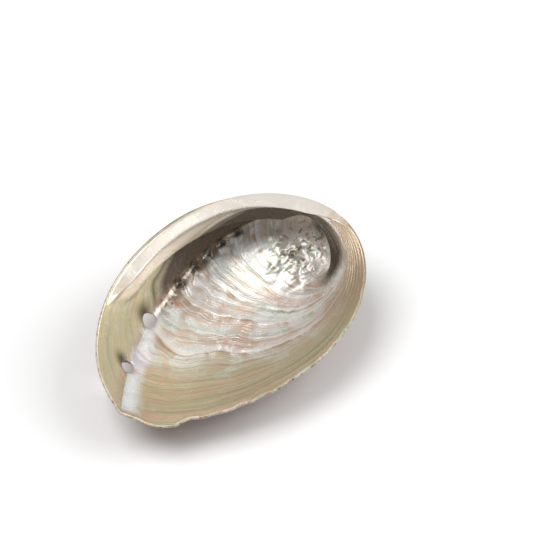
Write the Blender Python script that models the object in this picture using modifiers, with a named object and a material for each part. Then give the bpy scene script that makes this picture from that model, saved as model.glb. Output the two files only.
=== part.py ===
"""Abalone shell lying on its back, open side up: one natural piece, grown as one.

The shell is a spiral that grows as it turns, so every earlier growth line is a smaller, turned copy of
the edge of the open side. Shapes are worked out in the frame of that opening, in millimetres: +X points
to the spire end, +Y to the row of holes, +Z out of the opening. The finished shell is then tilted to lie
on its back and is in metres, +Z up, with its lowest point at height zero.
"""
import math

import bpy
import numpy as np
from mathutils import Matrix, Vector

NAME = "abalone_shell"
MM = 0.001

# Growth of the shell
APEX = np.array((38.5, -7.4, -16.1))
AXIS = np.array((-0.53, 0.69, 1.0))
GROWTH = 0.56                      # the size grows by e to this power over one radian
SPIRE_TURN = math.radians(390)     # how far back the outside is followed, to a spire a millimetre across
POCKET_TURN = math.radians(205)    # how far back the hollow inside goes

# Edge of the open side, seen from above the opening, clockwise from the corner where the row of holes ends
OUTLINE = (
    (-48.9, -5.6), (-44.6, 9.6), (-29.6, 25.6), (-8.0, 33.7), (14.5, 33.2), (35.0, 24.2), (46.6, 8.6),
    (46.7, -6.8), (37.0, -21.0), (19.0, -30.4), (-3.0, -31.6), (-25.0, -26.2), (-41.5, -17.2),
)
SPIRE_END_DIP = 1.0
DIP_FROM, DIP_LENGTH = 10.0, 38.0
COLUMNS = 180                      # grid lines that run back from the edge to the spire
FINE_EDGE = 8                      # how much finer than the columns the edge is read to find its nearest place
OUTER_ROWS = 300
INNER_ROWS = 150

CORNER_PASSES = 12                 # how much rounder the earlier corners are
CORNER_REACH = math.radians(4)

# Thickness
LIP = 1.1
WALL = 1.9
WALL_RAMP = math.radians(14)
WALL_THINNING = 0.45
BULGE = 0.6                        # how far the back may reach beyond the rim before it is drawn in
BULGE_DRAW = 0.35

# Ledge of the inner lip, along the row of holes
LEDGE = 4.6
LEDGE_TURN = math.radians(1.2)     # where its inner edge lies, as a turn back from the rim
LEDGE_START = (0.13, 0.21)         # shares of the way round the edge between which it widens
LEDGE_END = (0.34, 0.44)           # and between which it runs into the natural fold of the shell
LEDGE_UNDERCUT = 0.7
UNDERCUT_AT, UNDERCUT_REACH = -3.0, 2.2
LEDGE_FOOT = (-14.0, -8.0)         # heights between which the wall under the ledge comes in
LEDGE_ROUNDING = 0.5
LEDGE_ROWS = 6

# Row of holes: turns back from the edge, in degrees, and sizes across
OPEN_HOLES = ((17.0, 3.3), (36.0, 4.6))
CLOSED_HOLES = (54.0, 63.0, 71.0, 79.0, 88.0, 98.0, 109.0, 121.0, 134.0, 148.0, 163.0, 179.0)
KNOB_HEIGHT = 1.8
KNOB_REACH = 3.0
KEEL_HEIGHT = 1.0
KEEL_REACH = 5.0
TROUGH_DEPTH = 0.8
TROUGH_REACH = 4.0
PITS = 5                           # closed holes that still show inside, as pits
PIT_DEPTH = 1.3
PIT_REACH = 1.6

# Growth ledges and lumps of the outside
PAUSES = (7.0, 15.0, 24.0, 33.0, 43.0, 55.0, 68.0, 83.0, 99.0, 117.0, 138.0, 160.0)
PAUSE_HEIGHT = 0.55
PAUSE_REACH = math.radians(4.5)
RELIEF_RAMP = math.radians(9)      # the growing edge is plain, and its relief comes in over this turn
CORDS = 34
CORD_HEIGHT = 0.2
LUMP_HEIGHT = 0.3

# Chips of the growing edge
CHIP_DEPTH = 0.6
CHIP_REACH = math.radians(1.5)
CHIPPED = (0.60, 0.68)             # shares of the way round the edge between which the chips begin

# Rest: the tilt that lays the shell on its back, and how much of the back is worn flat
TILT_X = math.radians(12.9)
TILT_Y = math.radians(-7.4)
REST_SHIFT = (-0.4, -2.5, 23.15)
WORN_BLOCK = 60.0

# Facets
VOXEL = 0.6
FACET_SHARE = 0.064
HOLE_SIDES = 20
HOLE_DEPTH = 16.0
HOLE_STRETCH = 1.15
HOLE_LEAN = 0.75                   # 0 runs square to the wall, 1 straight down out of the opening

NACRE = (0.74, 0.70, 0.64, 1.0)
NACRE_ROUGHNESS = 0.3


def spline(points, steps):
    """A smooth closed curve through the points, with a corner at the first: even steps along its length."""
    points = np.vstack([points, points[:1]])
    knots = np.r_[0, np.cumsum(np.sqrt(np.linalg.norm(np.diff(points, axis=0), axis=1)))]
    gaps = np.diff(knots)
    count = len(points)
    system = np.eye(count)
    right = np.zeros_like(points)
    for i in range(1, count - 1):
        system[i, i - 1:i + 2] = gaps[i - 1], 2 * (gaps[i - 1] + gaps[i]), gaps[i]
        slopes = np.diff(points[i - 1:i + 2], axis=0) / gaps[i - 1:i + 1, None]
        right[i] = 6 * (slopes[1] - slopes[0])
    bends = np.linalg.solve(system, right)
    at = np.linspace(0, knots[-1], 20 * steps)
    i = np.clip(np.searchsorted(knots, at, side="right") - 1, 0, count - 2)
    step, before, after = gaps[i][:, None], (at - knots[i])[:, None], (knots[i + 1] - at)[:, None]
    curve = (bends[i] * after ** 3 + bends[i + 1] * before ** 3) / (6 * step)
    curve += (points[i] / step - bends[i] * step / 6) * after
    curve += (points[i + 1] / step - bends[i + 1] * step / 6) * before
    length = np.r_[0, np.cumsum(np.linalg.norm(np.diff(curve, axis=0), axis=1))]
    even = np.linspace(0, length[-1], steps, endpoint=False)
    return np.column_stack([np.interp(even, length, curve[:, k]) for k in range(points.shape[1])])


def ramp(value, start, end):
    """Rises smoothly from 0 at start to 1 at end."""
    t = np.clip((value - start) / (end - start), 0, 1)
    return t * t * (3 - 2 * t)


def bump(distance, reach):
    """A soft round hump, 1 at its middle."""
    return np.exp(-(distance / reach) ** 2)


def unit(vectors):
    return vectors / np.linalg.norm(vectors, axis=-1, keepdims=True)


def edge_curve():
    """The inner edge of the opening's rim, one point a column, and the direction into the opening."""
    flat = spline(np.array(OUTLINE), COLUMNS)
    share = np.arange(COLUMNS) / COLUMNS
    along = unit(np.roll(flat, -1, 0) - np.roll(flat, 1, 0))
    inward = np.column_stack([along[:, 1], -along[:, 0]])
    dip = -SPIRE_END_DIP * ramp(flat[:, 0], DIP_FROM, DIP_FROM + DIP_LENGTH)
    return np.column_stack([flat, dip]), np.column_stack([inward, np.zeros(COLUMNS)]), share


def rounded(edge):
    """The same edge with the corner at the row of holes worn round."""
    soft = edge
    for _ in range(CORNER_PASSES):
        soft = 0.25 * np.roll(soft, 1, 0) + 0.5 * soft + 0.25 * np.roll(soft, -1, 0)
    return soft


def chipped(share):
    """How far the thin growing edge is broken back, a column."""
    chips = np.sin(2 * math.pi * 23 * share + 1.0) * np.sin(2 * math.pi * 9 * share)
    chips += 0.7 * np.sin(2 * math.pi * 41 * share + 2.0) * np.sin(2 * math.pi * 5 * share + 0.6)
    return CHIP_DEPTH * chips * ramp(share, *CHIPPED)


def turned(points, turn):
    """The points as the shell stood a turn earlier: turned back about the axis and smaller."""
    back = np.array(Matrix.Rotation(-turn, 3, AXIS.tolist()))
    return APEX + math.exp(-GROWTH * turn) * (points - APEX) @ back.T


def sheet(edge, inward, share, turns):
    """The spiral surface, rows back from the edge, and its outward directions."""
    chips = inward * chipped(share)[:, None]
    corner = edge - rounded(edge)
    points = []
    for turn in turns:
        then = edge - corner * (1 - math.exp(-turn / CORNER_REACH))
        points.append(turned(then, turn) + chips * math.exp(-turn / CHIP_REACH))
    points = np.array(points)
    arms = points - APEX
    growing = GROWTH * arms + np.cross(unit(AXIS), arms)
    around = np.roll(points, -1, 1) - np.roll(points, 1, 1)
    return points, unit(np.cross(growing, around)), unit(growing)


def outside_relief(points, turns, share):
    """How far the outside stands proud of the plain spiral: keel, knobs, growth ledges, cords and lumps."""
    size = np.exp(-GROWTH * turns)[:, None]
    keel = np.linalg.norm(points - points[:, :1], axis=-1)
    relief = KEEL_HEIGHT * size ** 0.8 * bump(keel, KEEL_REACH * size ** 0.8)
    for turn in [hole for hole, _ in OPEN_HOLES] + list(CLOSED_HOLES):
        scale = math.exp(-GROWTH * math.radians(turn))
        row = np.abs(turns - math.radians(turn)).argmin()
        away = np.linalg.norm(points - points[row, 0], axis=-1)
        relief += KNOB_HEIGHT * scale ** 0.8 * bump(away, KNOB_REACH * scale ** 0.7)
    for turn in PAUSES:
        behind = turns - math.radians(turn)
        step = np.where(behind > 0, np.exp(-np.abs(behind) / PAUSE_REACH), 0)[:, None]
        relief = relief + PAUSE_HEIGHT * size * step * (1 + 0.5 * np.sin(9 * share * 2 * math.pi + turn))
    cords = 0.5 + 0.5 * np.cos(2 * math.pi * CORDS * share)
    relief += CORD_HEIGHT * size * cords
    down = turns[:, None]
    lumps = np.sin(2 * math.pi * 7 * share + 6 * down) * np.sin(2 * math.pi * 4 * share - 9 * down)
    return relief + LUMP_HEIGHT * size * lumps


def finer(values):
    """The values of a closed row, read at even steps between them too."""
    wrapped = np.vstack([values, values[:1]])
    at = np.arange(FINE_EDGE * COLUMNS) / FINE_EDGE
    return np.column_stack([np.interp(at, np.arange(COLUMNS + 1), column) for column in wrapped.T])


def nearest_edge(row, fine):
    """For each point of a row, the nearest place on the edge in plan, and how far off it is."""
    away = np.linalg.norm(row[:, None, :2] - fine[None, :, :2], axis=-1)
    return away.argmin(axis=1), away.min(axis=1)


def draw_in(points, edge, inward):
    """Keeps the back from bulging far beyond the rim."""
    fine = finer(np.column_stack([edge[:, :2], inward[:, :2]]))
    for row in points:
        nearest, _ = nearest_edge(row, fine)
        beyond = -((row[:, :2] - fine[nearest, :2]) * fine[nearest, 2:4]).sum(axis=1)
        excess = np.maximum(beyond - BULGE, 0)
        row[:, :2] += fine[nearest, 2:4] * (BULGE_DRAW * excess)[:, None]
    return points


def outside(edge, inward, share):
    """Outer skin, from its edge back to the tip of the spire."""
    turns = SPIRE_TURN * np.linspace(0, 1, OUTER_ROWS)
    points, outward, _ = sheet(edge, inward, share, turns)
    size = np.exp(-GROWTH * turns)[:, None]
    thickness = LIP + (WALL - LIP) * ramp(turns, 0, WALL_RAMP)[:, None]
    fade = ramp(turns, 0, RELIEF_RAMP)[:, None]
    proud = thickness * size ** WALL_THINNING + outside_relief(points, turns, share) * fade
    return draw_in(points + outward * proud[:, :, None], edge, inward)


def push_for_ledge(points, edge, inward, share):
    """Fills the corner under the inner lip, so that it stands in as a ledge along the row of holes."""
    width = LEDGE * ramp(share, *LEDGE_START) * (1 - ramp(share, *LEDGE_END))
    fine = finer(np.column_stack([edge[:, :2], inward[:, :2], width]))
    pushed = points.copy()
    for row in pushed:
        nearest, away = nearest_edge(row, fine)
        wide = fine[nearest, 4]
        cut = LEDGE_UNDERCUT * bump(row[:, 2] - UNDERCUT_AT, UNDERCUT_REACH) * ramp(wide, 0, LEDGE)
        short = wide - cut - away
        push = 0.5 * (short + np.sqrt(short ** 2 + LEDGE_ROUNDING ** 2))
        push *= ramp(wide, 0, 1) * ramp(row[:, 2], *LEDGE_FOOT)
        row[:, :2] += fine[nearest, 2:4] * push[:, None]
    return pushed


def inside(edge, inward, share):
    """Inner skin, from the edge over the ledge and back into the pocket under the spire."""
    turns = POCKET_TURN * np.linspace(0, 1, INNER_ROWS) ** 1.25
    points, outward, _ = sheet(edge, inward, share, turns)
    size = np.exp(-GROWTH * turns)[:, None]
    keel = np.linalg.norm(points - points[:, :1], axis=-1)
    trough = TROUGH_DEPTH * size * bump(keel, TROUGH_REACH * size)
    for turn in CLOSED_HOLES[:PITS]:
        scale = math.exp(-GROWTH * math.radians(turn))
        row = np.abs(turns - math.radians(turn)).argmin()
        away = np.linalg.norm(points - points[row, 0], axis=-1)
        trough += PIT_DEPTH * scale ** 0.7 * bump(away, PIT_REACH * scale ** 0.5)
    points = points + outward * (trough * ramp(turns, 0, math.radians(3))[:, None])[:, :, None]
    lead = np.searchsorted(turns, LEDGE_TURN)
    pushed = push_for_ledge(points[lead:], edge, inward, share)
    steps = np.linspace(0, 1, LEDGE_ROWS, endpoint=False)[:, None, None]
    band = points[0] * (1 - steps) + pushed[0] * steps
    return np.concatenate([band, pushed])


def cap(ring, towards, rows):
    """A round end that closes a ring, bulging towards a direction."""
    middle = ring.mean(axis=0)
    reach = 0.6 * np.linalg.norm(ring - middle, axis=1).mean()
    angles = [math.pi / 2 * k / rows for k in range(1, rows)]
    rings = [middle + (ring - middle) * math.cos(a) + towards * reach * math.sin(a) for a in angles]
    return rings, middle + towards * reach


def closed_surface():
    """Vertices and faces of the whole shell: spire, outer skin, rim, inner skin and the end of the pocket."""
    edge, inward, share = edge_curve()
    outer = outside(edge, inward, share)
    inner = inside(edge, inward, share)
    _, _, growing = sheet(edge, inward, share, np.array([0.0]))
    middle = (outer[0] + inner[0]) / 2
    half = outer[0] - middle
    around = unit(np.roll(edge, -1, 0) - np.roll(edge, 1, 0))
    ahead = unit(np.cross(half, around))
    ahead *= np.sign((ahead * growing[0]).sum(axis=1))[:, None]
    rim = [middle + half * math.cos(a) + ahead * 0.5 * LIP * math.sin(a) for a in (0.8, math.pi / 2, 2.35)]
    pocket_rings, pocket_end = cap(inner[-1], unit(inner[-1].mean(0) - inner[-8].mean(0)), 4)
    rings = np.concatenate([outer[::-1], np.array(rim), inner, np.array(pocket_rings)])
    spire_tip = 2 * outer[-1].mean(axis=0) - outer[-3].mean(axis=0)
    vertices = np.vstack([rings.reshape(-1, 3), spire_tip, pocket_end])
    grid = np.arange(len(rings) * COLUMNS).reshape(len(rings), COLUMNS)
    ahead_grid = np.roll(grid, -1, 1)
    quads = np.stack([grid[:-1], grid[1:], ahead_grid[1:], ahead_grid[:-1]], axis=-1).reshape(-1, 4)
    tip, end = len(vertices) - 2, len(vertices) - 1
    fans = [(tip, a, b) for a, b in zip(grid[0], ahead_grid[0])]
    fans += [(end, b, a) for a, b in zip(grid[-1], ahead_grid[-1])]
    return vertices, quads.tolist() + [tuple(int(v) for v in fan) for fan in fans]


def rest_matrix():
    """From the frame of the opening, in millimetres, to the shell on its back, in metres."""
    tilt = Matrix.Rotation(TILT_X, 4, "X") @ Matrix.Rotation(TILT_Y, 4, "Y")
    return Matrix.Translation([MM * value for value in REST_SHIFT]) @ tilt @ Matrix.Scale(MM, 4)


def hole_cutter(place, outward, growing, across):
    """A cylinder through the wall at one of the open holes."""
    axis = Vector(outward).lerp(Vector((0, 0, -1)), HOLE_LEAN).normalized()
    side = axis.cross(Vector(growing)).normalized()
    along = side.cross(axis)
    bpy.ops.mesh.primitive_cylinder_add(vertices=HOLE_SIDES, radius=0.5, depth=1)
    cutter = bpy.context.active_object
    frame = Matrix((along, side, axis)).transposed().to_4x4()
    frame.translation = Vector(place)
    stretch = Matrix.Diagonal((across * HOLE_STRETCH, across, HOLE_DEPTH, 1))
    cutter.data.transform(rest_matrix() @ frame @ stretch)
    return cutter


def worn_cutter():
    """A block whose top lies at the height that the back is worn down to."""
    bpy.ops.mesh.primitive_cube_add(size=WORN_BLOCK * MM, location=(0, 0, -WORN_BLOCK * MM / 2))
    return bpy.context.active_object


def cutters(edge, inward, share):
    collection = bpy.data.collections.new("cutters")
    bpy.context.scene.collection.children.link(collection)
    turns = np.radians([turn for turn, _ in OPEN_HOLES])
    points, outward, growing = sheet(edge, inward, share, turns)
    made = []
    for row, (_, across) in enumerate(OPEN_HOLES):
        made.append(hole_cutter(points[row, 0], outward[row, 0], growing[row, 0], across))
    made.append(worn_cutter())
    for number, cutter in enumerate(made):
        cutter.name = f"cutter_{number}"
        cutter.display_type = "WIRE"
        cutter.hide_render = True
        for old in list(cutter.users_collection):
            old.objects.unlink(cutter)
        collection.objects.link(cutter)
    return made


def finish():
    material = bpy.data.materials.new("nacre")
    material.use_nodes = True
    shader = material.node_tree.nodes["Principled BSDF"]
    shader.inputs["Base Color"].default_value = NACRE
    shader.inputs["Roughness"].default_value = NACRE_ROUGHNESS
    shader.inputs["Metallic"].default_value = 0.0
    return material


def shell_object(parts):
    """The fine surface, fused where whorls touch and brought down to facets, with the holes and the worn
    spot cut clean.
    """
    vertices, faces = closed_surface()
    mesh = bpy.data.meshes.new(NAME)
    mesh.from_pydata(vertices.tolist(), [], faces)
    mesh.transform(rest_matrix())
    mesh.materials.append(finish())
    shell = bpy.data.objects.new(NAME, mesh)
    parts.objects.link(shell)
    fuse = shell.modifiers.new("fuse", "REMESH")
    fuse.mode = "VOXEL"
    fuse.voxel_size = VOXEL * MM
    facets = shell.modifiers.new("facets", "DECIMATE")
    facets.ratio = FACET_SHARE
    for cutter in cutters(*edge_curve()):
        cut = shell.modifiers.new(cutter.name, "BOOLEAN")
        cut.operation = "DIFFERENCE"
        cut.solver = "EXACT"
        cut.object = cutter
    return shell


def build():
    for old in list(bpy.data.objects):
        bpy.data.objects.remove(old, do_unlink=True)
    parts = bpy.data.collections.new(NAME)
    bpy.context.scene.collection.children.link(parts)
    shell = shell_object(parts)
    shell.data.shade_smooth()


build()
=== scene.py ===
"""Looks of the abalone shell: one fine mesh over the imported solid, nacre inside and crust outside.

The mesh follows the same spiral as the solid, in the frame of the shell's opening and in millimetres:
+X points to the spire end, +Y to the row of holes, +Z out of the opening. It is then laid on its back,
in metres. The UV map "growth" holds each point's share of the way round the growing edge and its turn
back from it, and the materials draw growth lines, riblets and colour bands from those two numbers.
"""
import math

import bpy
import numpy as np
from mathutils import Matrix, Vector, noise


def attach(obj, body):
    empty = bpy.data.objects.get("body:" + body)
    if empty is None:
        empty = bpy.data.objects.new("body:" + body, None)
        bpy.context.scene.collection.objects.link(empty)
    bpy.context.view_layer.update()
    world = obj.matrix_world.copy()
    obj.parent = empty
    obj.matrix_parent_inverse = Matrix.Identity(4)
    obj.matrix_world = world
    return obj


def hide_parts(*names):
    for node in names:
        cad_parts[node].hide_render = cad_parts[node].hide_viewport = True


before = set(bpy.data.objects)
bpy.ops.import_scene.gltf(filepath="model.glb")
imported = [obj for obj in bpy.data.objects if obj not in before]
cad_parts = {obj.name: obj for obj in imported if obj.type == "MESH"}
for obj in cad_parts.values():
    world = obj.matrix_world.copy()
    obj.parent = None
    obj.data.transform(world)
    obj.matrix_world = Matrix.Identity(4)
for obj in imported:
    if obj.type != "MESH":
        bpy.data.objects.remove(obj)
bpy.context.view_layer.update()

NAME = "shell"
GROWTH_MAP = "growth"
LEDGE_MAP = "ledge"
MM = 0.001

# Growth of the shell
APEX = np.array((38.5, -7.4, -16.1))
AXIS = np.array((-0.53, 0.69, 1.0))
GROWTH = 0.56                      # the size grows by e to this power over one radian
SPIRE_TURN = math.radians(390)
POCKET_TURN = math.radians(205)

# Edge of the open side, clockwise seen from above, from the corner where the row of holes ends
OUTLINE = (
    (-48.9, -5.6), (-44.6, 9.6), (-29.6, 25.6), (-8.0, 33.7), (14.5, 33.2), (35.0, 24.2), (46.6, 8.6),
    (46.7, -6.8), (37.0, -21.0), (19.0, -30.4), (-3.0, -31.6), (-25.0, -26.2), (-41.5, -17.2),
)
SPIRE_END_DIP = 1.0
DIP_FROM, DIP_LENGTH = 10.0, 38.0
CURVE_FINENESS = 20                # places a column at which the outline's length is measured
COLUMNS = 240
FINE_EDGE = 8                      # how much finer than the columns the edge is read for its nearest place
OUTER_ROWS = 190
INNER_ROWS = 170
ROW_SPREAD = 1.25                  # above 1 the rows stand closer together near the edge
CORNER_PASSES = 21                 # how much rounder the earlier corners are
CORNER_REACH = math.radians(4)
RIM_ANGLES = (0.5, 1.05, 1.57, 2.1, 2.65)   # where the round rim has its rings, from outside to inside
CAP_ROWS = 4
CAP_BULGE = 0.6
POCKET_TAIL, SPIRE_TAIL = 8, 3     # rings back from either end that show which way it runs

# Thickness
LIP = 1.1
RIM_CRUST_ROWS = 3                 # rows of the round rim that show the outside's skin
WALL = 1.9
WALL_RAMP = math.radians(14)
WALL_THINNING = 0.45
BULGE = 0.6
BULGE_DRAW = 0.35

# Ledge of the inner lip, along the row of holes
LEDGE = 4.6
LEDGE_TURN = math.radians(1.2)
LEDGE_START = (0.13, 0.21)
LEDGE_END = (0.47, 0.56)
LEDGE_WIDENS = (0.36, 0.46)        # shares between which it grows wider towards the spire end
LEDGE_EXTRA = 1.6
LEDGE_STOP = (math.radians(105), math.radians(135))   # turns over which the filling under it ends
LEDGE_UNDERCUT = 0.7
UNDERCUT_AT, UNDERCUT_REACH = -3.0, 2.2
LEDGE_FOOT = (-14.0, -8.0)
LEDGE_ROUNDING = 0.5
LEDGE_ROWS = 6

# Row of holes: turns back from the edge, in degrees, and sizes across
OPEN_HOLES = ((17.0, 3.9), (36.0, 4.8))
CLOSED_HOLES = (54.0, 63.0, 71.0, 79.0, 88.0, 98.0, 109.0, 121.0, 134.0, 148.0, 163.0, 179.0)
KNOB_HEIGHT = 1.8
KNOB_REACH = 3.0
KNOB_SHRINKS = (0.8, 0.7)          # powers of the whorl's size that height and reach follow
KEEL_HEIGHT = 1.0
KEEL_REACH = 5.0
KEEL_SHRINKS = 0.8
TROUGH_DEPTH = 0.8
TROUGH_REACH = 4.0
TROUGH_RAMP = math.radians(3)
PITS = 5
PIT_DEPTH = 1.3
PIT_REACH = 1.6
PIT_SHRINKS = (0.7, 0.5)
DIMPLE_DEPTH = 0.5                 # the nacre sinks towards each open hole
DIMPLE_REACH = 3.4
HOLE_SIDES = 56
HOLE_DEPTH = 12.0
HOLE_STRETCH = 1.15
HOLE_LEAN = 0.75
HOLE_FLARE = 1.0
HOLE_SHIFT = (-0.9, 0.9, 0.0)      # the sunk keel shows the holes a little off its line

# Growth ledges and lumps of the outside
PAUSES = (7.0, 15.0, 24.0, 33.0, 43.0, 55.0, 68.0, 83.0, 99.0, 117.0, 138.0, 160.0)
PAUSE_HEIGHT = 0.55
PAUSE_REACH = math.radians(4.5)
PAUSE_WAVES, PAUSE_UNEVEN = 9, 0.5
RELIEF_RAMP = math.radians(9)
CORDS = 34
CORD_HEIGHT = 0.2
LUMP_HEIGHT = 0.3
LUMP_WAVES = ((7, 6), (4, -9))     # waves round the edge and over a radian of turn
WHORL_FROM = math.radians(40)      # earlier whorls stay under the ledge, below this height
WHORL_TOP = -2.3

# Low relief of the nacre: steps where growth paused, waves along them, and the lumps of the muscle scar
STEPS = (33.0, 54.0, 68.0, 84.0, 98.0)
STEP_HEIGHT = 0.16
STEP_REACH = math.radians(1.6)
STEP_WANDER = math.radians(0.8)
WAVE_HEIGHT = 0.05
WAVES = 70                         # radians of the waves over a radian of turn
SCAR = (35.0, 6.0, -21.0)          # middle of the muscle scar
SCAR_REACH = 10.0
SCAR_HEIGHT = 1.1
SCAR_LUMP = 4.8                    # size of its lumps
SCAR_FRACTAL = (0.8, 2.0, 3)       # roughness, how much finer each layer is, and layers
SCAR_LEAST = 0.02                  # below this the scar counts as flat

# Chips of the growing edge
CHIP_DEPTH = 0.25
CHIP_REACH = math.radians(1.5)
CHIP_WAVES = ((1.0, 23, 1.0, 9, 0.0), (0.7, 41, 2.0, 5, 0.6))   # height, then waves and phase, twice
CHIPPED = (0.60, 0.68)
NOTCH_DEPTH = 0.8                  # the break where the edge steps back, near the corner
NOTCH_RUN, NOTCH, NOTCH_END = (0.84, 0.92), (0.925, 0.937), (0.95, 0.99)

# Rest
TILT_X = math.radians(12.9)
TILT_Y = math.radians(-7.4)
REST_SHIFT = (-0.4, -2.5, 23.15)

# Camera, in the frame of the opening
CAMERA_AZIMUTH = math.radians(-42)
CAMERA_ELEVATION = math.radians(60)
CAMERA_DISTANCE = 500.0
CAMERA_AIM = (11.1, 11.7)          # millimetres right of and above the middle of the opening
LENS = 108.0
SENSOR = 36.0
CLIP_START = 0.01

# Stage
FLOOR_SIZE = 6.0
FLOOR_COLOUR = (0.92, 0.92, 0.92)
FLOOR_ROUGHNESS = 0.9
KEY_LIGHT = ((-0.22, 0.20, 0.78), 0.60, 5.0)    # place, size and energy
FILL_LIGHT = ((0.50, -0.45, 0.60), 0.60, 4.4)
WORLD_STRENGTH = 0.28


def spline(points, steps):
    """A smooth closed curve through the points, with a corner at the first: even steps along its length."""
    points = np.vstack([points, points[:1]])
    knots = np.r_[0, np.cumsum(np.sqrt(np.linalg.norm(np.diff(points, axis=0), axis=1)))]
    gaps = np.diff(knots)
    count = len(points)
    system = np.eye(count)
    right = np.zeros_like(points)
    for i in range(1, count - 1):
        system[i, i - 1:i + 2] = gaps[i - 1], 2 * (gaps[i - 1] + gaps[i]), gaps[i]
        slopes = np.diff(points[i - 1:i + 2], axis=0) / gaps[i - 1:i + 1, None]
        right[i] = 6 * (slopes[1] - slopes[0])
    bends = np.linalg.solve(system, right)
    at = np.linspace(0, knots[-1], CURVE_FINENESS * steps)
    i = np.clip(np.searchsorted(knots, at, side="right") - 1, 0, count - 2)
    step, before, after = gaps[i][:, None], (at - knots[i])[:, None], (knots[i + 1] - at)[:, None]
    curve = (bends[i] * after ** 3 + bends[i + 1] * before ** 3) / (6 * step)
    curve += (points[i] / step - bends[i] * step / 6) * after
    curve += (points[i + 1] / step - bends[i + 1] * step / 6) * before
    length = np.r_[0, np.cumsum(np.linalg.norm(np.diff(curve, axis=0), axis=1))]
    even = np.linspace(0, length[-1], steps, endpoint=False)
    return np.column_stack([np.interp(even, length, curve[:, k]) for k in range(points.shape[1])])


def ramp(value, start, end):
    """Rises smoothly from 0 at start to 1 at end."""
    t = np.clip((value - start) / (end - start), 0, 1)
    return t * t * (3 - 2 * t)


def bump(distance, reach):
    """A soft round hump, 1 at its middle."""
    return np.exp(-(distance / reach) ** 2)


def unit(vectors):
    return vectors / np.linalg.norm(vectors, axis=-1, keepdims=True)


def edge_curve():
    """The inner edge of the opening's rim, one point a column, and the direction into the opening."""
    flat = spline(np.array(OUTLINE), COLUMNS)
    share = np.arange(COLUMNS) / COLUMNS
    along = unit(np.roll(flat, -1, 0) - np.roll(flat, 1, 0))
    inward = np.column_stack([along[:, 1], -along[:, 0]])
    dip = -SPIRE_END_DIP * ramp(flat[:, 0], DIP_FROM, DIP_FROM + DIP_LENGTH)
    return np.column_stack([flat, dip]), np.column_stack([inward, np.zeros(COLUMNS)]), share


def rounded(edge):
    """The same edge with the corner at the row of holes worn round."""
    soft = edge
    for _ in range(CORNER_PASSES):
        soft = 0.25 * np.roll(soft, 1, 0) + 0.5 * soft + 0.25 * np.roll(soft, -1, 0)
    return soft


def chipped(share):
    """How far the thin growing edge is broken back, a column."""
    chips = np.zeros(COLUMNS)
    for height, many, phase, few, slow_phase in CHIP_WAVES:
        fast = np.sin(2 * math.pi * many * share + phase)
        chips += height * fast * np.sin(2 * math.pi * few * share + slow_phase)
    before = ramp(share, *NOTCH_RUN) * (1 - ramp(share, *NOTCH))
    after = ramp(share, *NOTCH) * (1 - ramp(share, *NOTCH_END))
    return CHIP_DEPTH * chips * ramp(share, *CHIPPED) + NOTCH_DEPTH * (before - after)


def turned(points, turn):
    """The points as the shell stood a turn earlier: turned back about the axis and smaller."""
    back = np.array(Matrix.Rotation(-turn, 3, AXIS.tolist()))
    return APEX + math.exp(-GROWTH * turn) * (points - APEX) @ back.T


def sheet(edge, inward, share, turns):
    """The spiral surface, rows back from the edge, and its outward directions."""
    chips = inward * chipped(share)[:, None]
    corner = edge - rounded(edge)
    points = []
    for turn in turns:
        then = edge - corner * (1 - math.exp(-turn / CORNER_REACH))
        points.append(turned(then, turn) + chips * math.exp(-turn / CHIP_REACH))
    points = np.array(points)
    arms = points - APEX
    growing = GROWTH * arms + np.cross(unit(AXIS), arms)
    around = np.roll(points, -1, 1) - np.roll(points, 1, 1)
    return points, unit(np.cross(growing, around)), unit(growing)


def outside_relief(points, turns, share):
    """How far the outside stands proud of the plain spiral: keel, knobs, growth ledges, cords and lumps."""
    size = np.exp(-GROWTH * turns)[:, None]
    keel = np.linalg.norm(points - points[:, :1], axis=-1)
    relief = KEEL_HEIGHT * size ** KEEL_SHRINKS * bump(keel, KEEL_REACH * size ** KEEL_SHRINKS)
    height_power, reach_power = KNOB_SHRINKS
    for turn in [hole for hole, _ in OPEN_HOLES] + list(CLOSED_HOLES):
        scale = math.exp(-GROWTH * math.radians(turn))
        row = np.abs(turns - math.radians(turn)).argmin()
        away = np.linalg.norm(points - points[row, 0], axis=-1)
        relief += KNOB_HEIGHT * scale ** height_power * bump(away, KNOB_REACH * scale ** reach_power)
    for turn in PAUSES:
        behind = turns - math.radians(turn)
        step = np.where(behind > 0, np.exp(-np.abs(behind) / PAUSE_REACH), 0)[:, None]
        uneven = 1 + PAUSE_UNEVEN * np.sin(PAUSE_WAVES * share * 2 * math.pi + turn)
        relief = relief + PAUSE_HEIGHT * size * step * uneven
    cords = 0.5 + 0.5 * np.cos(2 * math.pi * CORDS * share)
    relief += CORD_HEIGHT * size * cords
    lumps = 1.0
    for around, back in LUMP_WAVES:
        lumps = lumps * np.sin(2 * math.pi * around * share + back * turns[:, None])
    return relief + LUMP_HEIGHT * size * lumps


def finer(values):
    """The values of a closed row, read at even steps between them too."""
    wrapped = np.vstack([values, values[:1]])
    at = np.arange(FINE_EDGE * COLUMNS) / FINE_EDGE
    return np.column_stack([np.interp(at, np.arange(COLUMNS + 1), column) for column in wrapped.T])


def nearest_edge(row, fine):
    """For each point of a row, the nearest place on the edge in plan, and how far off it is."""
    away = np.linalg.norm(row[:, None, :2] - fine[None, :, :2], axis=-1)
    return away.argmin(axis=1), away.min(axis=1)


def draw_in(points, edge, inward):
    """Keeps the back from bulging far beyond the rim."""
    fine = finer(np.column_stack([edge[:, :2], inward[:, :2]]))
    for row in points:
        nearest, _ = nearest_edge(row, fine)
        beyond = -((row[:, :2] - fine[nearest, :2]) * fine[nearest, 2:4]).sum(axis=1)
        excess = np.maximum(beyond - BULGE, 0)
        row[:, :2] += fine[nearest, 2:4] * (BULGE_DRAW * excess)[:, None]
    return points


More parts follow.
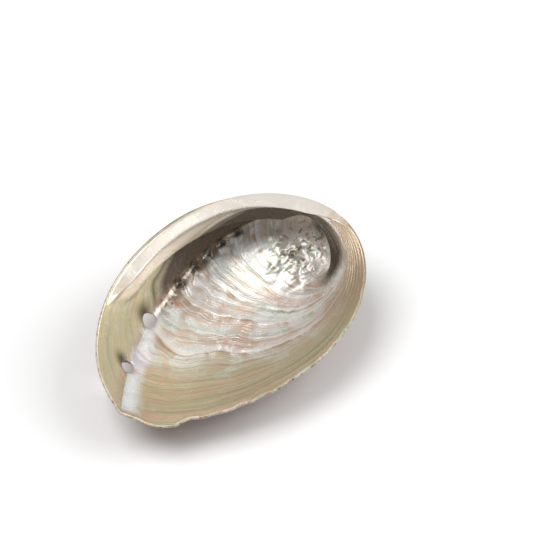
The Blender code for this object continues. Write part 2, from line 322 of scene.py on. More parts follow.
def outside(edge, inward, share):
    """Outer skin, from its edge back to the tip of the spire, with its turns."""
    turns = SPIRE_TURN * np.linspace(0, 1, OUTER_ROWS) ** ROW_SPREAD
    points, outward, _ = sheet(edge, inward, share, turns)
    size = np.exp(-GROWTH * turns)[:, None]
    thickness = LIP + (WALL - LIP) * ramp(turns, 0, WALL_RAMP)[:, None]
    fade = ramp(turns, 0, RELIEF_RAMP)[:, None]
    proud = thickness * size ** WALL_THINNING + outside_relief(points, turns, share) * fade
    skin = draw_in(points + outward * proud[:, :, None], edge, inward)
    earlier = turns > WHORL_FROM
    skin[earlier, :, 2] = np.minimum(skin[earlier, :, 2], WHORL_TOP)
    return skin, turns


def push_for_ledge(points, turns, edge, inward, share):
    """Fills the corner under the inner lip, so that it stands in as a ledge, and how far that moved."""
    full = LEDGE + LEDGE_EXTRA * ramp(share, *LEDGE_WIDENS)
    width = full * ramp(share, *LEDGE_START) * (1 - ramp(share, *LEDGE_END))
    fine = finer(np.column_stack([edge[:, :2], inward[:, :2], width]))
    pushed = points.copy()
    moved = np.zeros(points.shape[:2])
    open_side = 1 - ramp(turns, *LEDGE_STOP)
    for number, row in enumerate(pushed):
        nearest, away = nearest_edge(row, fine)
        wide = fine[nearest, 4]
        cut = LEDGE_UNDERCUT * bump(row[:, 2] - UNDERCUT_AT, UNDERCUT_REACH) * ramp(wide, 0, LEDGE)
        short = wide - cut - away
        push = 0.5 * (short + np.sqrt(short ** 2 + LEDGE_ROUNDING ** 2))
        push *= open_side[number] * ramp(wide, 0, 1) * ramp(row[:, 2], *LEDGE_FOOT)
        row[:, :2] += fine[nearest, 2:4] * push[:, None]
        moved[number] = push
    return pushed, moved


def nacre_relief(points, turns, share):
    """How far the nacre stands in from the plain spiral: growth steps, waves along them and scar lumps."""
    down = turns[:, None]
    round_share = 2 * math.pi * share
    relief = np.zeros(points.shape[:2])
    for turn in STEPS:
        wander = STEP_WANDER * np.sin(2 * round_share + turn)
        behind = down - math.radians(turn) + wander
        relief += STEP_HEIGHT * np.where(behind > 0, np.exp(-np.abs(behind) / STEP_REACH), 0)
    relief += WAVE_HEIGHT * np.sin(WAVES * down + 2 * np.sin(2 * round_share)) * np.exp(-GROWTH * down)
    scar = bump(np.linalg.norm(points - SCAR, axis=-1), SCAR_REACH)
    for row, column in np.argwhere(scar > SCAR_LEAST):
        lump = noise.fractal(Vector(points[row, column] / SCAR_LUMP), *SCAR_FRACTAL)
        relief[row, column] += SCAR_HEIGHT * scar[row, column] * lump
    return relief


def trough(points, turns):
    """How far the inside sinks under the keel: a trough, the pits in it and a dimple at each open hole."""
    size = np.exp(-GROWTH * turns)[:, None]
    keel = np.linalg.norm(points - points[:, :1], axis=-1)
    depth = TROUGH_DEPTH * size * bump(keel, TROUGH_REACH * size)
    depth_power, reach_power = PIT_SHRINKS
    for turn in CLOSED_HOLES[:PITS]:
        scale = math.exp(-GROWTH * math.radians(turn))
        row = np.abs(turns - math.radians(turn)).argmin()
        away = np.linalg.norm(points - points[row, 0], axis=-1)
        depth += PIT_DEPTH * scale ** depth_power * bump(away, PIT_REACH * scale ** reach_power)
    for turn, _ in OPEN_HOLES:
        row = np.abs(turns - math.radians(turn)).argmin()
        away = np.linalg.norm(points - points[row, 0], axis=-1)
        depth += DIMPLE_DEPTH * bump(away, DIMPLE_REACH)
    return depth


def inside(edge, inward, share):
    """Inner skin from the edge over the ledge into the pocket, its turns and how far the ledge moved it."""
    turns = POCKET_TURN * np.linspace(0, 1, INNER_ROWS) ** ROW_SPREAD
    points, outward, _ = sheet(edge, inward, share, turns)
    depth = trough(points, turns) - nacre_relief(points, turns, share)
    points = points + outward * (depth * ramp(turns, 0, TROUGH_RAMP)[:, None])[:, :, None]
    lead = np.searchsorted(turns, LEDGE_TURN)
    pushed, moved = push_for_ledge(points[lead:], turns[lead:], edge, inward, share)
    steps = np.linspace(0, 1, LEDGE_ROWS, endpoint=False)[:, None, None]
    band = points[0] * (1 - steps) + pushed[0] * steps
    band_turns = np.linspace(0, turns[lead], LEDGE_ROWS, endpoint=False)
    band_moved = np.repeat(moved[:1], LEDGE_ROWS, 0)
    skin = np.concatenate([band, pushed])
    return skin, np.r_[band_turns, turns[lead:]], np.concatenate([band_moved, moved])


def cap(ring, towards):
    """Rings and the end point of a round end that closes a ring, bulging towards a direction."""
    middle = ring.mean(axis=0)
    reach = CAP_BULGE * np.linalg.norm(ring - middle, axis=1).mean()
    angles = [math.pi / 2 * k / CAP_ROWS for k in range(1, CAP_ROWS)]
    rings = [middle + (ring - middle) * math.cos(a) + towards * reach * math.sin(a) for a in angles]
    return rings, middle + towards * reach


def rest_matrix():
    """From the frame of the opening, in millimetres, to the shell on its back, in metres."""
    tilt = Matrix.Rotation(TILT_X, 4, "X") @ Matrix.Rotation(TILT_Y, 4, "Y")
    return Matrix.Translation([MM * value for value in REST_SHIFT]) @ tilt @ Matrix.Scale(MM, 4)


def round_rim(outer, inner, edge, growing):
    """Rings of the round rim that joins the two skins at the growing edge."""
    middle = (outer + inner) / 2
    half = outer - middle
    around = unit(np.roll(edge, -1, 0) - np.roll(edge, 1, 0))
    ahead = unit(np.cross(half, around))
    ahead *= np.sign((ahead * growing).sum(axis=1))[:, None]
    return np.array([middle + half * math.cos(angle) + ahead * 0.5 * LIP * math.sin(angle)
                     for angle in RIM_ANGLES])


def closed_surface():
    """Rings from spire to pocket, the two end points, each ring's turn and how far the ledge moved it."""
    edge, inward, share = edge_curve()
    outer, outer_turns = outside(edge, inward, share)
    inner, inner_turns, moved = inside(edge, inward, share)
    _, _, growing = sheet(edge, inward, share, np.array([0.0]))
    rim = round_rim(outer[0], inner[0], edge, growing[0])
    pocket_rings, pocket_end = cap(inner[-1], unit(inner[-1].mean(0) - inner[-POCKET_TAIL].mean(0)))
    spire_tip = 2 * outer[-1].mean(axis=0) - outer[-SPIRE_TAIL].mean(axis=0)
    rings = np.concatenate([outer[::-1], rim, inner, np.array(pocket_rings)])
    turns = np.r_[outer_turns[::-1], np.zeros(len(rim)), inner_turns, [inner_turns[-1]] * len(pocket_rings)]
    ledge_moved = np.zeros(rings.shape[:2])
    ledge_moved[len(outer) + len(rim):-len(pocket_rings)] = moved
    return rings, (spire_tip, pocket_end), turns, ledge_moved


def growth_map(mesh, turns):
    """The UV map of share round the edge and turn back, for the quads first and the end fans last."""
    rows = len(turns) - 1
    corners = np.repeat((np.arange(COLUMNS)[:, None] + (0, 0, 1, 1))[None], rows, 0) / COLUMNS
    ring_of_corner = np.arange(rows)[:, None, None] + np.array((0, 1, 1, 0))
    down = np.broadcast_to(turns[ring_of_corner], corners.shape)
    growth = np.zeros((len(mesh.loops), 2))
    growth[:corners.size] = np.stack([corners.ravel(), down.ravel()], axis=-1)
    growth[corners.size:, 1] = turns[-1]
    mesh.uv_layers.new(name=GROWTH_MAP).data.foreach_set("uv", growth.ravel())


def surface_mesh():
    """The whole closed surface, laid on the floor, with crust outside and nacre inside."""
    rings, ends, turns, ledge_moved = closed_surface()
    vertices = np.vstack([rings.reshape(-1, 3), *ends])
    grid = np.arange(len(rings) * COLUMNS).reshape(len(rings), COLUMNS)
    beside = np.roll(grid, -1, 1)
    quads = np.stack([grid[:-1], grid[1:], beside[1:], beside[:-1]], axis=-1).reshape(-1, 4)
    tip, end = len(vertices) - 2, len(vertices) - 1
    fans = [(tip, int(a), int(b)) for a, b in zip(grid[0], beside[0])]
    fans += [(end, int(b), int(a)) for a, b in zip(grid[-1], beside[-1])]
    mesh = bpy.data.meshes.new(NAME)
    mesh.from_pydata(vertices.tolist(), [], quads.tolist() + fans)
    mesh.transform(rest_matrix())
    places = np.empty(len(mesh.vertices) * 3)
    mesh.vertices.foreach_get("co", places)
    places[2::3] = np.maximum(places[2::3], 0)
    mesh.vertices.foreach_set("co", places)

    ledge_data = mesh.attributes.new(LEDGE_MAP, "FLOAT", "POINT").data
    ledge_data.foreach_set("value", np.r_[ledge_moved.ravel(), 0, 0])
    growth_map(mesh, turns)
    finish = np.ones(len(mesh.polygons), dtype=np.int32)
    finish[:(OUTER_ROWS + RIM_CRUST_ROWS) * COLUMNS] = 0
    finish[len(quads):len(quads) + COLUMNS] = 0
    mesh.polygons.foreach_set("material_index", finish)
    mesh.shade_smooth()
    return mesh


def hole_cutter(place, outward, growing, across, material):
    """A cone through the wall at one of the open holes, wider towards the outside."""
    axis = Vector(outward).lerp(Vector((0, 0, -1)), HOLE_LEAN).normalized()
    side = axis.cross(Vector(growing)).normalized()
    along = side.cross(axis)
    flare = HOLE_FLARE / 2
    bpy.ops.mesh.primitive_cone_add(vertices=HOLE_SIDES, radius1=0.5 - flare, radius2=0.5 + flare, depth=1)
    cutter = bpy.context.active_object
    frame_of_hole = Matrix((along, side, axis)).transposed().to_4x4()
    frame_of_hole.translation = Vector(place) + Vector(HOLE_SHIFT)
    stretch = Matrix.Diagonal((across * HOLE_STRETCH, across, HOLE_DEPTH, 1))
    cutter.data.transform(rest_matrix() @ frame_of_hole @ stretch)
    cutter.data.materials.append(material)
    return cutter


def cut_holes(shell, material):
    """Cuts the open holes, applies the cuts and takes the cutters away."""
    edge, inward, share = edge_curve()
    turns = np.radians([turn for turn, _ in OPEN_HOLES])
    points, outward, growing = sheet(edge, inward, share, turns)
    for row, (_, across) in enumerate(OPEN_HOLES):
        cutter = hole_cutter(points[row, 0], outward[row, 0], growing[row, 0], across, material)
        cut = shell.modifiers.new("hole", "BOOLEAN")
        cut.operation = "DIFFERENCE"
        cut.solver = "EXACT"
        cut.material_mode = "TRANSFER"
        cut.object = cutter
        bpy.context.view_layer.objects.active = shell
        bpy.ops.object.modifier_apply(modifier=cut.name)
        bpy.data.objects.remove(cutter, do_unlink=True)


class Graph:
    """A material's nodes, added and linked by short calls; a value is a number, a colour or a socket."""

    def __init__(self, name):
        self.material = bpy.data.materials.new(name)
        self.material.use_nodes = True
        self.tree = self.material.node_tree
        self.shader = self.tree.nodes["Principled BSDF"]
        growth = self.add("ShaderNodeUVMap")
        growth.uv_map = GROWTH_MAP
        parts = self.add("ShaderNodeSeparateXYZ")
        self.put(parts.inputs[0], growth.outputs[0])
        self.share, self.turn = parts.outputs[0], parts.outputs[1]
        scale = self.add("ShaderNodeVectorMath")
        scale.operation = "SCALE"
        self.put(scale.inputs[0], self.add("ShaderNodeTexCoord").outputs["Object"])
        self.put(scale.inputs["Scale"], 1 / MM)
        self.place = scale.outputs["Vector"]

    def add(self, kind):
        return self.tree.nodes.new(kind)

    def put(self, socket, value):
        if isinstance(value, bpy.types.NodeSocket):
            self.tree.links.new(value, socket)
        elif isinstance(value, tuple) and len(value) == 3 and socket.type == "RGBA":
            socket.default_value = (*value, 1.0)
        else:
            socket.default_value = value

    def math(self, operation, a, b):
        node = self.add("ShaderNodeMath")
        node.operation = operation
        self.put(node.inputs[0], a)
        self.put(node.inputs[1], b)
        return node.outputs[0]

    def times(self, first, *others):
        """The product of all the values."""
        for other in others:
            first = self.math("MULTIPLY", first, other)
        return first

    def strayed(self, value, stray, amount):
        """The value, moved by this share of how far a noise strays from its middle."""
        return self.math("ADD", value, self.times(self.math("SUBTRACT", stray, 0.5), amount))

    def combine(self, x, y):
        node = self.add("ShaderNodeCombineXYZ")
        self.put(node.inputs[0], x)
        self.put(node.inputs[1], y)
        return node.outputs[0]

    def window(self, value, start, end, low=0.0, high=1.0):
        """Rises smoothly from low at start to high at end."""
        node = self.add("ShaderNodeMapRange")
        node.interpolation_type = "SMOOTHSTEP"
        for socket, number in zip(node.inputs, (value, start, end, low, high)):
            self.put(socket, number)
        return node.outputs[0]

    def band(self, value, rise, fall):
        """Rises smoothly over one stretch and falls again over the other."""
        return self.times(self.window(value, *rise), self.window(value, *fall))

    def mix(self, share, a, b):
        node = self.add("ShaderNodeMix")
        node.data_type = "RGBA"
        self.put(node.inputs["Factor"], share)
        self.put(node.inputs[6], a)
        self.put(node.inputs[7], b)
        return node.outputs[2]

    def laid_over(self, colour, where, amount, over):
        """The colour, with another laid over it by this amount where the mask is 1."""
        return self.mix(self.times(where, amount), colour, over)

    def noise(self, vector, scale, detail=3.0, roughness=0.5, distortion=0.0):
        node = self.add("ShaderNodeTexNoise")
        self.put(node.inputs["Vector"], vector)
        for name, value in (("Scale", scale), ("Detail", detail), ("Roughness", roughness),
                            ("Distortion", distortion)):
            self.put(node.inputs[name], value)
        return node.outputs["Fac"]

    def grown_noise(self, turn, around, back, detail, roughness=0.5):
        """Noise in the growth map: about so many spots round the edge and back over one radian."""
        at = self.combine(self.times(self.share, around), self.times(turn, back))
        return self.noise(at, 1.0, detail, roughness)

    def ramp(self, value, stops):
        node = self.add("ShaderNodeValToRGB")
        self.put(node.inputs[0], value)
        elements = node.color_ramp.elements
        while len(elements) < len(stops):
            elements.new(0.5)
        for element, (place, colour) in zip(elements, stops):
            element.position = place
            element.color = (*colour, 1.0)
        return node.outputs[0]

    def attribute(self, name):
        node = self.add("ShaderNodeAttribute")
        node.attribute_name = name
        return node.outputs["Fac"]

    def near(self, place, reach):
        """A soft spot round a place in millimetres at rest: 1 at its middle, 0 beyond its reach."""
        node = self.add("ShaderNodeVectorMath")
        node.operation = "DISTANCE"
        self.put(node.inputs[0], self.place)
        self.put(node.inputs[1], place)
        return self.window(node.outputs["Value"], reach, 0.0)

    def relief(self, layers):
        """Bump from several heights in millimetres, chained."""
        normal = None
        for height, strength in layers:
            node = self.add("ShaderNodeBump")
            self.put(node.inputs["Strength"], 1.0)
            self.put(node.inputs["Distance"], strength * MM)
            self.put(node.inputs["Height"], height)
            if normal is not None:
                self.put(node.inputs["Normal"], normal)
            normal = node.outputs[0]
        self.put(self.shader.inputs["Normal"], normal)


# Colours of the nacre
CREAM = (0.72, 0.60, 0.49)
WHITE = (0.90, 0.88, 0.85)
PINK = (0.80, 0.45, 0.35)
ROSE = (0.86, 0.66, 0.62)
LILAC = (0.67, 0.59, 0.68)
ICE = (0.80, 0.86, 0.90)
MINT = (0.62, 0.86, 0.73)
SEAFOAM = (0.76, 0.86, 0.80)
SALMON = (0.74, 0.35, 0.20)
OLIVE = (0.36, 0.34, 0.19)
MOSS = (0.46, 0.50, 0.27)
LIME = (0.62, 0.70, 0.40)
GOLD = (0.84, 0.71, 0.46)
SAND = (0.66, 0.58, 0.42)
HONEY = (0.66, 0.54, 0.36)
STRAW = (0.60, 0.47, 0.33)
FAWN = (0.52, 0.40, 0.28)
HAZEL = (0.46, 0.38, 0.29)
TAN = (0.40, 0.28, 0.17)
BARK = (0.22, 0.15, 0.08)
COCOA = (0.20, 0.13, 0.08)
UMBER = (0.045, 0.025, 0.011)
BROWN = (0.10, 0.055, 0.027)
PLUM = (0.095, 0.05, 0.065)
FERN = (0.08, 0.11, 0.05)
IVORY = (0.74, 0.63, 0.50)
BONE = (0.82, 0.73, 0.62)
MILK = (0.88, 0.83, 0.76)
RUST = (0.30, 0.12, 0.045)
OCHRE = (0.45, 0.30, 0.18)

# Colours along a noise, as its value and the colour there
PEARL = ((0.34, PINK), (0.43, CREAM), (0.49, WHITE), (0.56, MINT), (0.66, LILAC))
BLUSH = ((0.38, PINK), (0.47, CREAM), (0.56, WHITE))
EDGE_BANDS = ((0.38, OLIVE), (0.44, MOSS), (0.48, STRAW), (0.53, SALMON), (0.58, SAND), (0.66, MOSS))
HOLE_SIDE = ((0.36, MOSS), (0.45, GOLD), (0.52, HONEY), (0.58, LIME), (0.66, LILAC))
# Browns of the wall under the ledge, darkened further as painted shade
BROWN_AND_SHADED_WALL = ((0.36, UMBER), (0.44, BROWN), (0.50, PLUM), (0.55, FERN), (0.60, UMBER), (0.68, COCOA))
SCAR_BANDS = ((0.38, FERN), (0.42, TAN), (0.46, WHITE), (0.51, ROSE), (0.54, WHITE), (0.60, SEAFOAM),
              (0.64, TAN))

# Zones of the nacre, as shares round the edge and turns back from it, each with a soft start and end
HOLE_SIDE_SHARES = ((0.004, 0.03), (0.26, 0.16))
SHADED_WALL_SHARES = ((0.0, 0.015), (0.56, 0.48))
SHADED_WALL_TURNS = (math.radians(33), math.radians(50))
SPIRE_SIDE_SHARES = ((0.44, 0.52), (0.70, 0.60))
SPIRE_SIDE_TURNS = (math.radians(70), math.radians(30))
EDGE_TURNS = (math.radians(38), math.radians(14))
LEDGE_TURNS = (math.radians(34), math.radians(20))
# Where the painted highlight beside the keel lies
GLEAM_SHARES = (0.966, 0.99)
GLEAM_TURNS = ((0.0, 0.04), (0.95, 0.6))
KNOBBLY_SHARES = ((0.955, 0.99), (0.03, 0.008))
KNOBBLY_TURNS = ((0.64, 0.80), (1.55, 1.3))
STEP_LINE = ((-0.06, 0.0), (0.012, 0.0))
# Painted highlight along the edge of each growth step
STEP_GLEAM = ((0.0, 0.02), (0.10, 0.02))

# Noises of the nacre in place: scale, detail, roughness and distortion
DRIFT = (0.06, 2.0)
PATCH = (0.12, 4.0, 0.6, 0.8)
SWIRL = (0.26, 4.0, 0.6, 1.4)
SPECKS = (1.9, 2.0)
GRAIN = (1.6, 3.0)

# Noises of the nacre in the growth map: spots round the edge and over a radian, detail and roughness
BROAD = (2.2, 11.0, 3.0, 0.55)
FINE = (3.5, 62.0, 3.0, 0.6)
LINES = (2.0, 95.0, 2.0)
RIPPLE = (75.0, 9.0, 2.0)

# Sheen of the nacre, and the depth of its reliefs in millimetres
METALLIC = 0.35
COAT, COAT_ROUGHNESS = 0.6, 0.10
FINE_DEPTH, WEAVE_DEPTH, SCAR_DEPTH, GRAIN_DEPTH = 0.13, 0.16, 0.15, 0.04

# Places at rest, in millimetres, with a reach
# Painted highlight in mint and white on the floor of the bowl
MINT_HIGHLIGHT = ((29.0, 14.0, 7.5), 15.0)
PALE_FLOOR = ((6.0, 20.0, 3.0), 15.0)
WEAVE = ((0.0, 2.0, 2.0), 17.0)
# Painted highlight spots in the trough of the keel
KEEL_TROUGH_HIGHLIGHTS = (((-26.5, 13.5, 6.0), 5.5), ((-31.5, 9.5, 7.0), 4.0))
SCAR_AT_REST = ((41.0, 8.0, 12.5), 15.0)
# Painted shade in the hollows beside the muscle scar and in the pocket
SHADES = (((45.0, 7.0, 18.0), 5.0), ((36.5, 17.5, 14.0), 4.5), ((37.5, -7.5, 12.5), 8.0))

# Painted shadow above the open holes, and stains round the holes and the pits
HOLE_SHADE = (-1.0, 2.6, 2.2)      # from a hole to the painted shadow above it
HOLE_SHADOW_REACH = 1.25                  # reach of that painted shadow for each millimetre of the hole
HOLE_RIM_STAIN = 0.85
PIT_STAIN = 2.9
PIT_HALO = 2.6                     # reach of the brown round a pit's stain, in stains

# Colours of the outside, as a noise's value and the colour there
BODY = ((0.30, (0.10, 0.045, 0.025)), (0.45, (0.26, 0.10, 0.045)), (0.56, (0.30, 0.12, 0.05)),
        (0.70, (0.22, 0.17, 0.13)))
RIBLET_BROWN = (0.36, 0.16, 0.075)
BODY_SLATE = (0.20, 0.17, 0.14)
GRIME_PALE = (0.42, 0.37, 0.31)
GRIME_DARK = (0.06, 0.03, 0.02)
SPIRE = ((0.36, (0.04, 0.13, 0.10)), (0.46, (0.12, 0.30, 0.25)), (0.54, (0.28, 0.42, 0.36)),
         (0.60, (0.55, 0.52, 0.44)))
SPIRE_BROWN = (0.19, 0.13, 0.05)
CORD_DARK = (0.30, 0.10, 0.035)
CORD_PALE = (0.52, 0.24, 0.10)
CHALK = (0.66, 0.62, 0.56)
BRICK = ((0.40, (0.26, 0.06, 0.04)), (0.48, (0.36, 0.26, 0.19)), (0.58, (0.06, 0.16, 0.13)))
BLEACHED = ((0.38, (0.10, 0.05, 0.03)), (0.43, (0.46, 0.38, 0.29)), (0.58, (0.66, 0.60, 0.50)))

# Noises of the outside: in place, then in the growth map
MOTTLE = (0.16, 5.0, 0.62, 0.8)
SPECK = (0.9, 5.0, 0.7)
GRIME = (0.35, 5.0, 0.7, 0.5)
RIBLET = (150.0, 3.0, 2.0)
GROWTH_LINE = (3.0, 22.0, 4.0, 0.6)
RIBLET_DEPTH, LINE_DEPTH, GRIME_DEPTH, SPECK_DEPTH = 0.4, 0.6, 0.5, 0.45

# Zones of the outside, in radians back from the edge and shares round it
CORDED_FROM = (1.35, 1.55)
SPIRE_FROM = (1.75, 1.90)
CHALK_TURNS = ((1.22, 1.32), (1.50, 1.38))
RIM_TURNS = (math.radians(3.0), math.radians(0.4))
BRICK_SHARES = ((0.20, 0.30), (0.70, 0.58))


def along_keel(turns):
    """Places at rest, in millimetres, on the keel at these turns in degrees."""
    edge, inward, share = edge_curve()
    points, _, _ = sheet(edge, inward, share, np.radians(turns))
    return [tuple(rest_matrix() @ Vector(point) / MM) for point in points[:, 0]]


class Nacre(Graph):
    """The nacre's nodes, with the noises and masks that several of its zones read."""

    def __init__(self):
        super().__init__("nacre")
        drift = self.noise(self.place, *DRIFT)
        self.wandering = self.strayed(self.turn, drift, 0.22)
        self.broad = self.grown_noise(self.wandering, *BROAD)
        self.fine = self.grown_noise(self.wandering, *FINE)
        self.lines = self.grown_noise(self.strayed(self.turn, drift, 0.07), *LINES)
        self.patch = self.noise(self.place, *PATCH)
        self.swirl = self.noise(self.place, *SWIRL)
        self.spread = self.strayed(self.wandering, self.broad, 0.4)
        weave = self.grown_noise(self.wandering, *RIPPLE)
        cross = self.times(self.window(weave, 0.45, 0.62), self.window(self.fine, 0.35, 0.6))
        self.cross = self.times(cross, self.near(*WEAVE))
        ledge = self.window(self.attribute(LEDGE_MAP), 0.3, 2.2)
        self.ledge_top = self.times(ledge, self.window(self.turn, *LEDGE_TURNS))

    def fine_mix(self, low, high, start=0.4, end=0.6):
        """One colour where the fine growth lines are low, another where they are high."""
        return self.mix(self.window(self.fine, start, end), low, high)


def bowl(g):
    """Floor of the bowl: pearl in growth bands, with pale and woven patches, a painted mint-white highlight,
    and growth steps with a painted highlight along each.
    """
    pearl = g.mix(0.62, g.ramp(g.broad, PEARL), g.ramp(g.patch, BLUSH))
    pearl = g.laid_over(pearl, g.window(g.fine, 0.51, 0.63), 0.65, TAN)
    pearl = g.laid_over(pearl, g.window(g.fine, 0.46, 0.36), 0.7, WHITE)
    pale = g.times(g.near(*PALE_FLOOR), g.window(g.patch, 0.36, 0.52))
    pearl = g.laid_over(pearl, pale, 0.8, WHITE)
    # painted highlight, mint and white
    mint_highlight = g.times(g.near(*MINT_HIGHLIGHT), g.window(g.broad, 0.34, 0.5))
    pearl = g.laid_over(pearl, mint_highlight, 0.85, g.mix(g.window(g.patch, 0.4, 0.6), MINT, WHITE))
    pearl = g.laid_over(pearl, g.cross, 0.75, HAZEL)
    for stop in STEPS:
        behind = g.math("SUBTRACT", g.wandering, math.radians(stop))
        line = g.times(g.band(behind, *STEP_LINE), g.window(g.patch, 0.60, 0.44))
        pearl = g.laid_over(pearl, line, 0.65, TAN)
        # painted highlight along the edge of each growth step
        pearl = g.laid_over(pearl, g.band(behind, *STEP_GLEAM), 0.75, WHITE)
    return pearl


def walls(g, colour):
    """Olive edge bands, the golden side by the holes, the brown wall under the ledge darkened with painted
    shade, tan by the spire.
    """
    colour = g.laid_over(colour, g.window(g.spread, *EDGE_TURNS), 0.9, g.ramp(g.lines, EDGE_BANDS))
    side = g.laid_over(g.ramp(g.fine, HOLE_SIDE), g.window(g.broad, 0.52, 0.68), 0.6, OLIVE)
    colour = g.mix(g.band(g.share, *HOLE_SIDE_SHARES), colour, side)
    # brown of the wall under the ledge, darkened further as painted shade
    brown_and_shade = g.times(g.band(g.share, *SHADED_WALL_SHARES), g.window(g.spread, *SHADED_WALL_TURNS))
    colour = g.mix(brown_and_shade, colour, g.ramp(g.fine, BROWN_AND_SHADED_WALL))
    spire_side = g.times(g.band(g.share, *SPIRE_SIDE_SHARES), g.window(g.turn, *SPIRE_SIDE_TURNS))
    return g.laid_over(colour, spire_side, 0.85, g.fine_mix(TAN, FAWN))


def ledge(g, colour):
    """The smooth ivory top of the ledge."""
    width = g.attribute(LEDGE_MAP)
    satin = g.noise(g.combine(g.times(g.share, 5.0), width), 1.2, 2.0)
    ivory = g.mix(g.window(satin, 0.35, 0.65), IVORY, BONE)
    ivory = g.mix(g.window(width, 2.6, 5.4), ivory, MILK)
    return g.laid_over(colour, g.ledge_top, 0.95, ivory)


def keel_gleam(g, colour):
    """Painted highlight: the bright band beside the row of holes and bright spots in the trough of the keel.
    """
    # painted highlight in white and ice along the keel
    beside = g.times(g.window(g.share, *GLEAM_SHARES), g.band(g.turn, *GLEAM_TURNS))
    gleam = g.fine_mix(WHITE, ICE, 0.42, 0.58)
    colour = g.mix(g.times(beside, g.window(g.patch, 0.30, 0.46)), colour, gleam)
    # painted highlight spots in the keel's trough, white and lilac
    for spot in KEEL_TROUGH_HIGHLIGHTS:
        shine = g.times(g.window(g.near(*spot), 0.0, 0.6), g.window(g.patch, 0.30, 0.42))
        colour = g.mix(shine, colour, g.fine_mix(WHITE, LILAC, 0.42, 0.58))
    return colour


def hole_shadows_and_stains(g, colour):
    """Painted shadow above each open hole, dark stains round its rim, the knobbly keel behind them and the
    pits of the closed ones.
    """
    holes = along_keel([turn for turn, _ in OPEN_HOLES])
    for hole, (_, across) in zip(holes, OPEN_HOLES):
        # painted shadow of the wall above each open hole, in umber
        shadow_and_stain = tuple(middle + step for middle, step in zip(hole, HOLE_SHADE))
        colour = g.laid_over(colour, g.near(shadow_and_stain, HOLE_SHADOW_REACH * across), 0.95, UMBER)
        colour = g.mix(g.near(hole, HOLE_RIM_STAIN * across), colour, BARK)
    both_sides = g.math("MAXIMUM", *(g.window(g.share, *side) for side in KNOBBLY_SHARES))
    knobbly = g.times(both_sides, g.band(g.turn, *KNOBBLY_TURNS), g.window(g.swirl, 0.60, 0.46))
    colour = g.laid_over(colour, knobbly, 0.9, g.fine_mix(BROWN, TAN))
    for pit in along_keel(CLOSED_HOLES[:PITS]):
        halo = g.times(g.near(pit, PIT_HALO * PIT_STAIN), g.window(g.swirl, 0.62, 0.42))
        colour = g.laid_over(colour, halo, 0.8, BROWN)
        colour = g.mix(g.near(pit, PIT_STAIN), colour, UMBER)
    return colour


def muscle_scar(g, colour):
    """The swirled muscle scar, and painted shade in the hollows beside it and in the pocket."""
    colour = g.mix(g.near(*SCAR_AT_REST), colour, g.ramp(g.swirl, SCAR_BANDS))
    # painted shade, brown and dark green, in the hollows by the scar and in the pocket
    for spot in SHADES:
        shade = g.times(g.near(*spot), g.window(g.patch, 0.62, 0.42))
        colour = g.mix(shade, colour, g.mix(g.window(g.swirl, 0.4, 0.6), BROWN, FERN))
    return colour


def nacre():
    """Mother-of-pearl of the inside, zone over zone, polished and finely uneven."""
    g = Nacre()
    colour = bowl(g)
    for zone in (walls, ledge, keel_gleam, hole_shadows_and_stains, muscle_scar):
        colour = zone(g, colour)
    specks = g.window(g.noise(g.place, *SPECKS), 0.68, 0.74)
    g.put(g.shader.inputs["Base Color"], g.laid_over(colour, specks, 0.7, TAN))
    g.put(g.shader.inputs["Roughness"], g.window(g.patch, 0.3, 0.7, 0.16, 0.32))
    g.put(g.shader.inputs["Metallic"], METALLIC)
    g.put(g.shader.inputs["Coat Weight"], COAT)
    g.put(g.shader.inputs["Coat Roughness"], COAT_ROUGHNESS)
    scar_swirl = g.times(g.swirl, g.near(*SCAR_AT_REST))
    uneven = g.times(g.fine, g.math("SUBTRACT", 1.0, g.ledge_top))
    grain = g.noise(g.place, *GRAIN)
    g.relief(((uneven, FINE_DEPTH), (g.cross, WEAVE_DEPTH), (scar_swirl, SCAR_DEPTH), (grain, GRAIN_DEPTH)))
    return g.material


def crust():
    """The rough outside: teal worn spire, chalky band, then rust-brown with fine riblets."""
    g = Graph("crust")
    mottle = g.noise(g.place, *MOTTLE)
    speck = g.noise(g.place, *SPECK)
    grime = g.noise(g.place, *GRIME)
    riblet = g.grown_noise(g.turn, *RIBLET)
    growth_line = g.grown_noise(g.turn, *GROWTH_LINE)
    wander = g.strayed(g.turn, mottle, 0.5)

    body = g.laid_over(g.ramp(growth_line, BODY), g.window(riblet, 0.45, 0.62), 0.8, RIBLET_BROWN)
    body = g.laid_over(body, g.window(mottle, 0.48, 0.60), 0.75, BODY_SLATE)
    body = g.laid_over(body, g.window(grime, 0.56, 0.68), 0.6, GRIME_PALE)
    body = g.laid_over(body, g.window(grime, 0.42, 0.34), 0.8, GRIME_DARK)
    corded = g.mix(g.window(riblet, 0.42, 0.58), CORD_DARK, CORD_PALE)
    spire = g.mix(g.window(mottle, 0.52, 0.57), g.ramp(grime, SPIRE), SPIRE_BROWN)
    colour = g.mix(g.window(wander, *CORDED_FROM), body, corded)
    colour = g.mix(g.window(wander, *SPIRE_FROM), colour, spire)
    chalk = g.times(g.band(wander, *CHALK_TURNS), g.window(speck, 0.38, 0.55))
    colour = g.mix(chalk, colour, CHALK)

    margin = g.mix(g.band(g.share, *BRICK_SHARES), g.ramp(speck, BLEACHED), g.ramp(speck, BRICK))
    colour = g.mix(g.window(g.turn, *RIM_TURNS), colour, margin)
    g.put(g.shader.inputs["Base Color"], colour)
    g.put(g.shader.inputs["Roughness"], g.window(speck, 0.3, 0.7, 0.62, 0.88))
    g.relief(((riblet, RIBLET_DEPTH), (growth_line, LINE_DEPTH), (grime, GRIME_DEPTH), (speck, SPECK_DEPTH)))
    return g.material


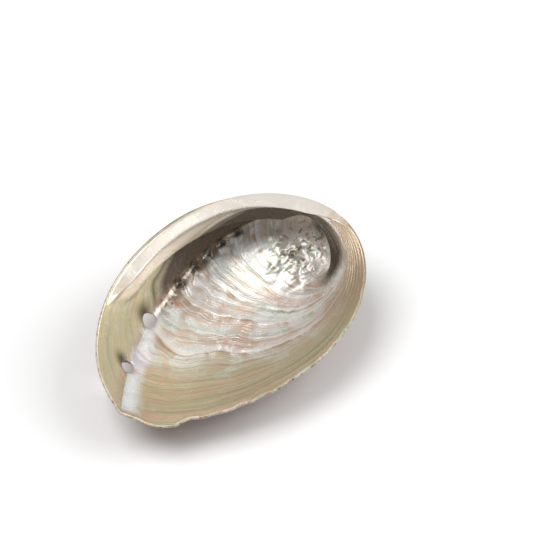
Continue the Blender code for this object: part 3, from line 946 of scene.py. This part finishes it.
def hole_wall():
    """The rust-stained wall of the open holes."""
    g = Graph("hole wall")
    shadow_and_stain = g.noise(g.place, 0.8, 4.0)
    g.put(g.shader.inputs["Base Color"], g.mix(g.window(shadow_and_stain, 0.4, 0.6), RUST, OCHRE))
    g.put(g.shader.inputs["Roughness"], 0.5)
    g.relief(((shadow_and_stain, 0.1),))
    return g.material


def build_shell():
    """The shell in its materials, with its holes cut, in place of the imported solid."""
    skins, wall = (crust(), nacre()), hole_wall()
    mesh = surface_mesh()
    for material in skins:
        mesh.materials.append(material)
    shell = bpy.data.objects.new(NAME, mesh)
    bpy.context.scene.collection.objects.link(shell)
    cut_holes(shell, wall)
    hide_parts("abalone_shell")
    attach(shell, "root")


def floor():
    """A plain pale floor under the shell."""
    bpy.ops.mesh.primitive_plane_add(size=FLOOR_SIZE)
    plane = bpy.context.active_object
    plane.name = "floor"
    material = bpy.data.materials.new("floor")
    material.use_nodes = True
    shader = material.node_tree.nodes["Principled BSDF"]
    shader.inputs["Base Color"].default_value = (*FLOOR_COLOUR, 1.0)
    shader.inputs["Roughness"].default_value = FLOOR_ROUGHNESS
    plane.data.materials.append(material)


def area_light(name, place, size, energy):
    """A square soft light that faces the shell."""
    data = bpy.data.lights.new(name, "AREA")
    data.size = size
    data.energy = energy
    light = bpy.data.objects.new(name, data)
    light.location = place
    light.rotation_mode = "QUATERNION"
    light.rotation_quaternion = (-Vector(place)).to_track_quat("-Z", "Y")
    bpy.context.scene.collection.objects.link(light)


def lights():
    """A soft key light from the left behind, a fill light from the right and an even white world."""
    area_light("key", *KEY_LIGHT)
    area_light("fill", *FILL_LIGHT)
    world = bpy.data.worlds.new("studio")
    world.use_nodes = True
    background = world.node_tree.nodes["Background"]
    background.inputs["Color"].default_value = (1.0, 1.0, 1.0, 1.0)
    background.inputs["Strength"].default_value = WORLD_STRENGTH
    bpy.context.scene.world = world


def camera():
    """The photograph's viewing angle, worked out in the frame of the opening."""
    a, e = CAMERA_AZIMUTH, CAMERA_ELEVATION
    right = Vector((math.cos(a), math.sin(a), 0))
    back = Vector((math.sin(a) * math.cos(e), -math.cos(a) * math.cos(e), math.sin(e)))
    up = back.cross(right)
    aim = right * CAMERA_AIM[0] + up * CAMERA_AIM[1]
    turn = rest_matrix().to_3x3().normalized() @ Matrix((right, up, back)).transposed()
    data = bpy.data.cameras.new("camera")
    data.lens = LENS
    data.sensor_width = SENSOR
    data.clip_start = CLIP_START
    eye = bpy.data.objects.new("camera", data)
    eye.matrix_world = Matrix.Translation(rest_matrix() @ (aim + back * CAMERA_DISTANCE)) @ turn.to_4x4()
    bpy.context.scene.collection.objects.link(eye)
    bpy.context.scene.camera = eye


bpy.context.scene.view_settings.view_transform = "Standard"
build_shell()
floor()
lights()
camera()
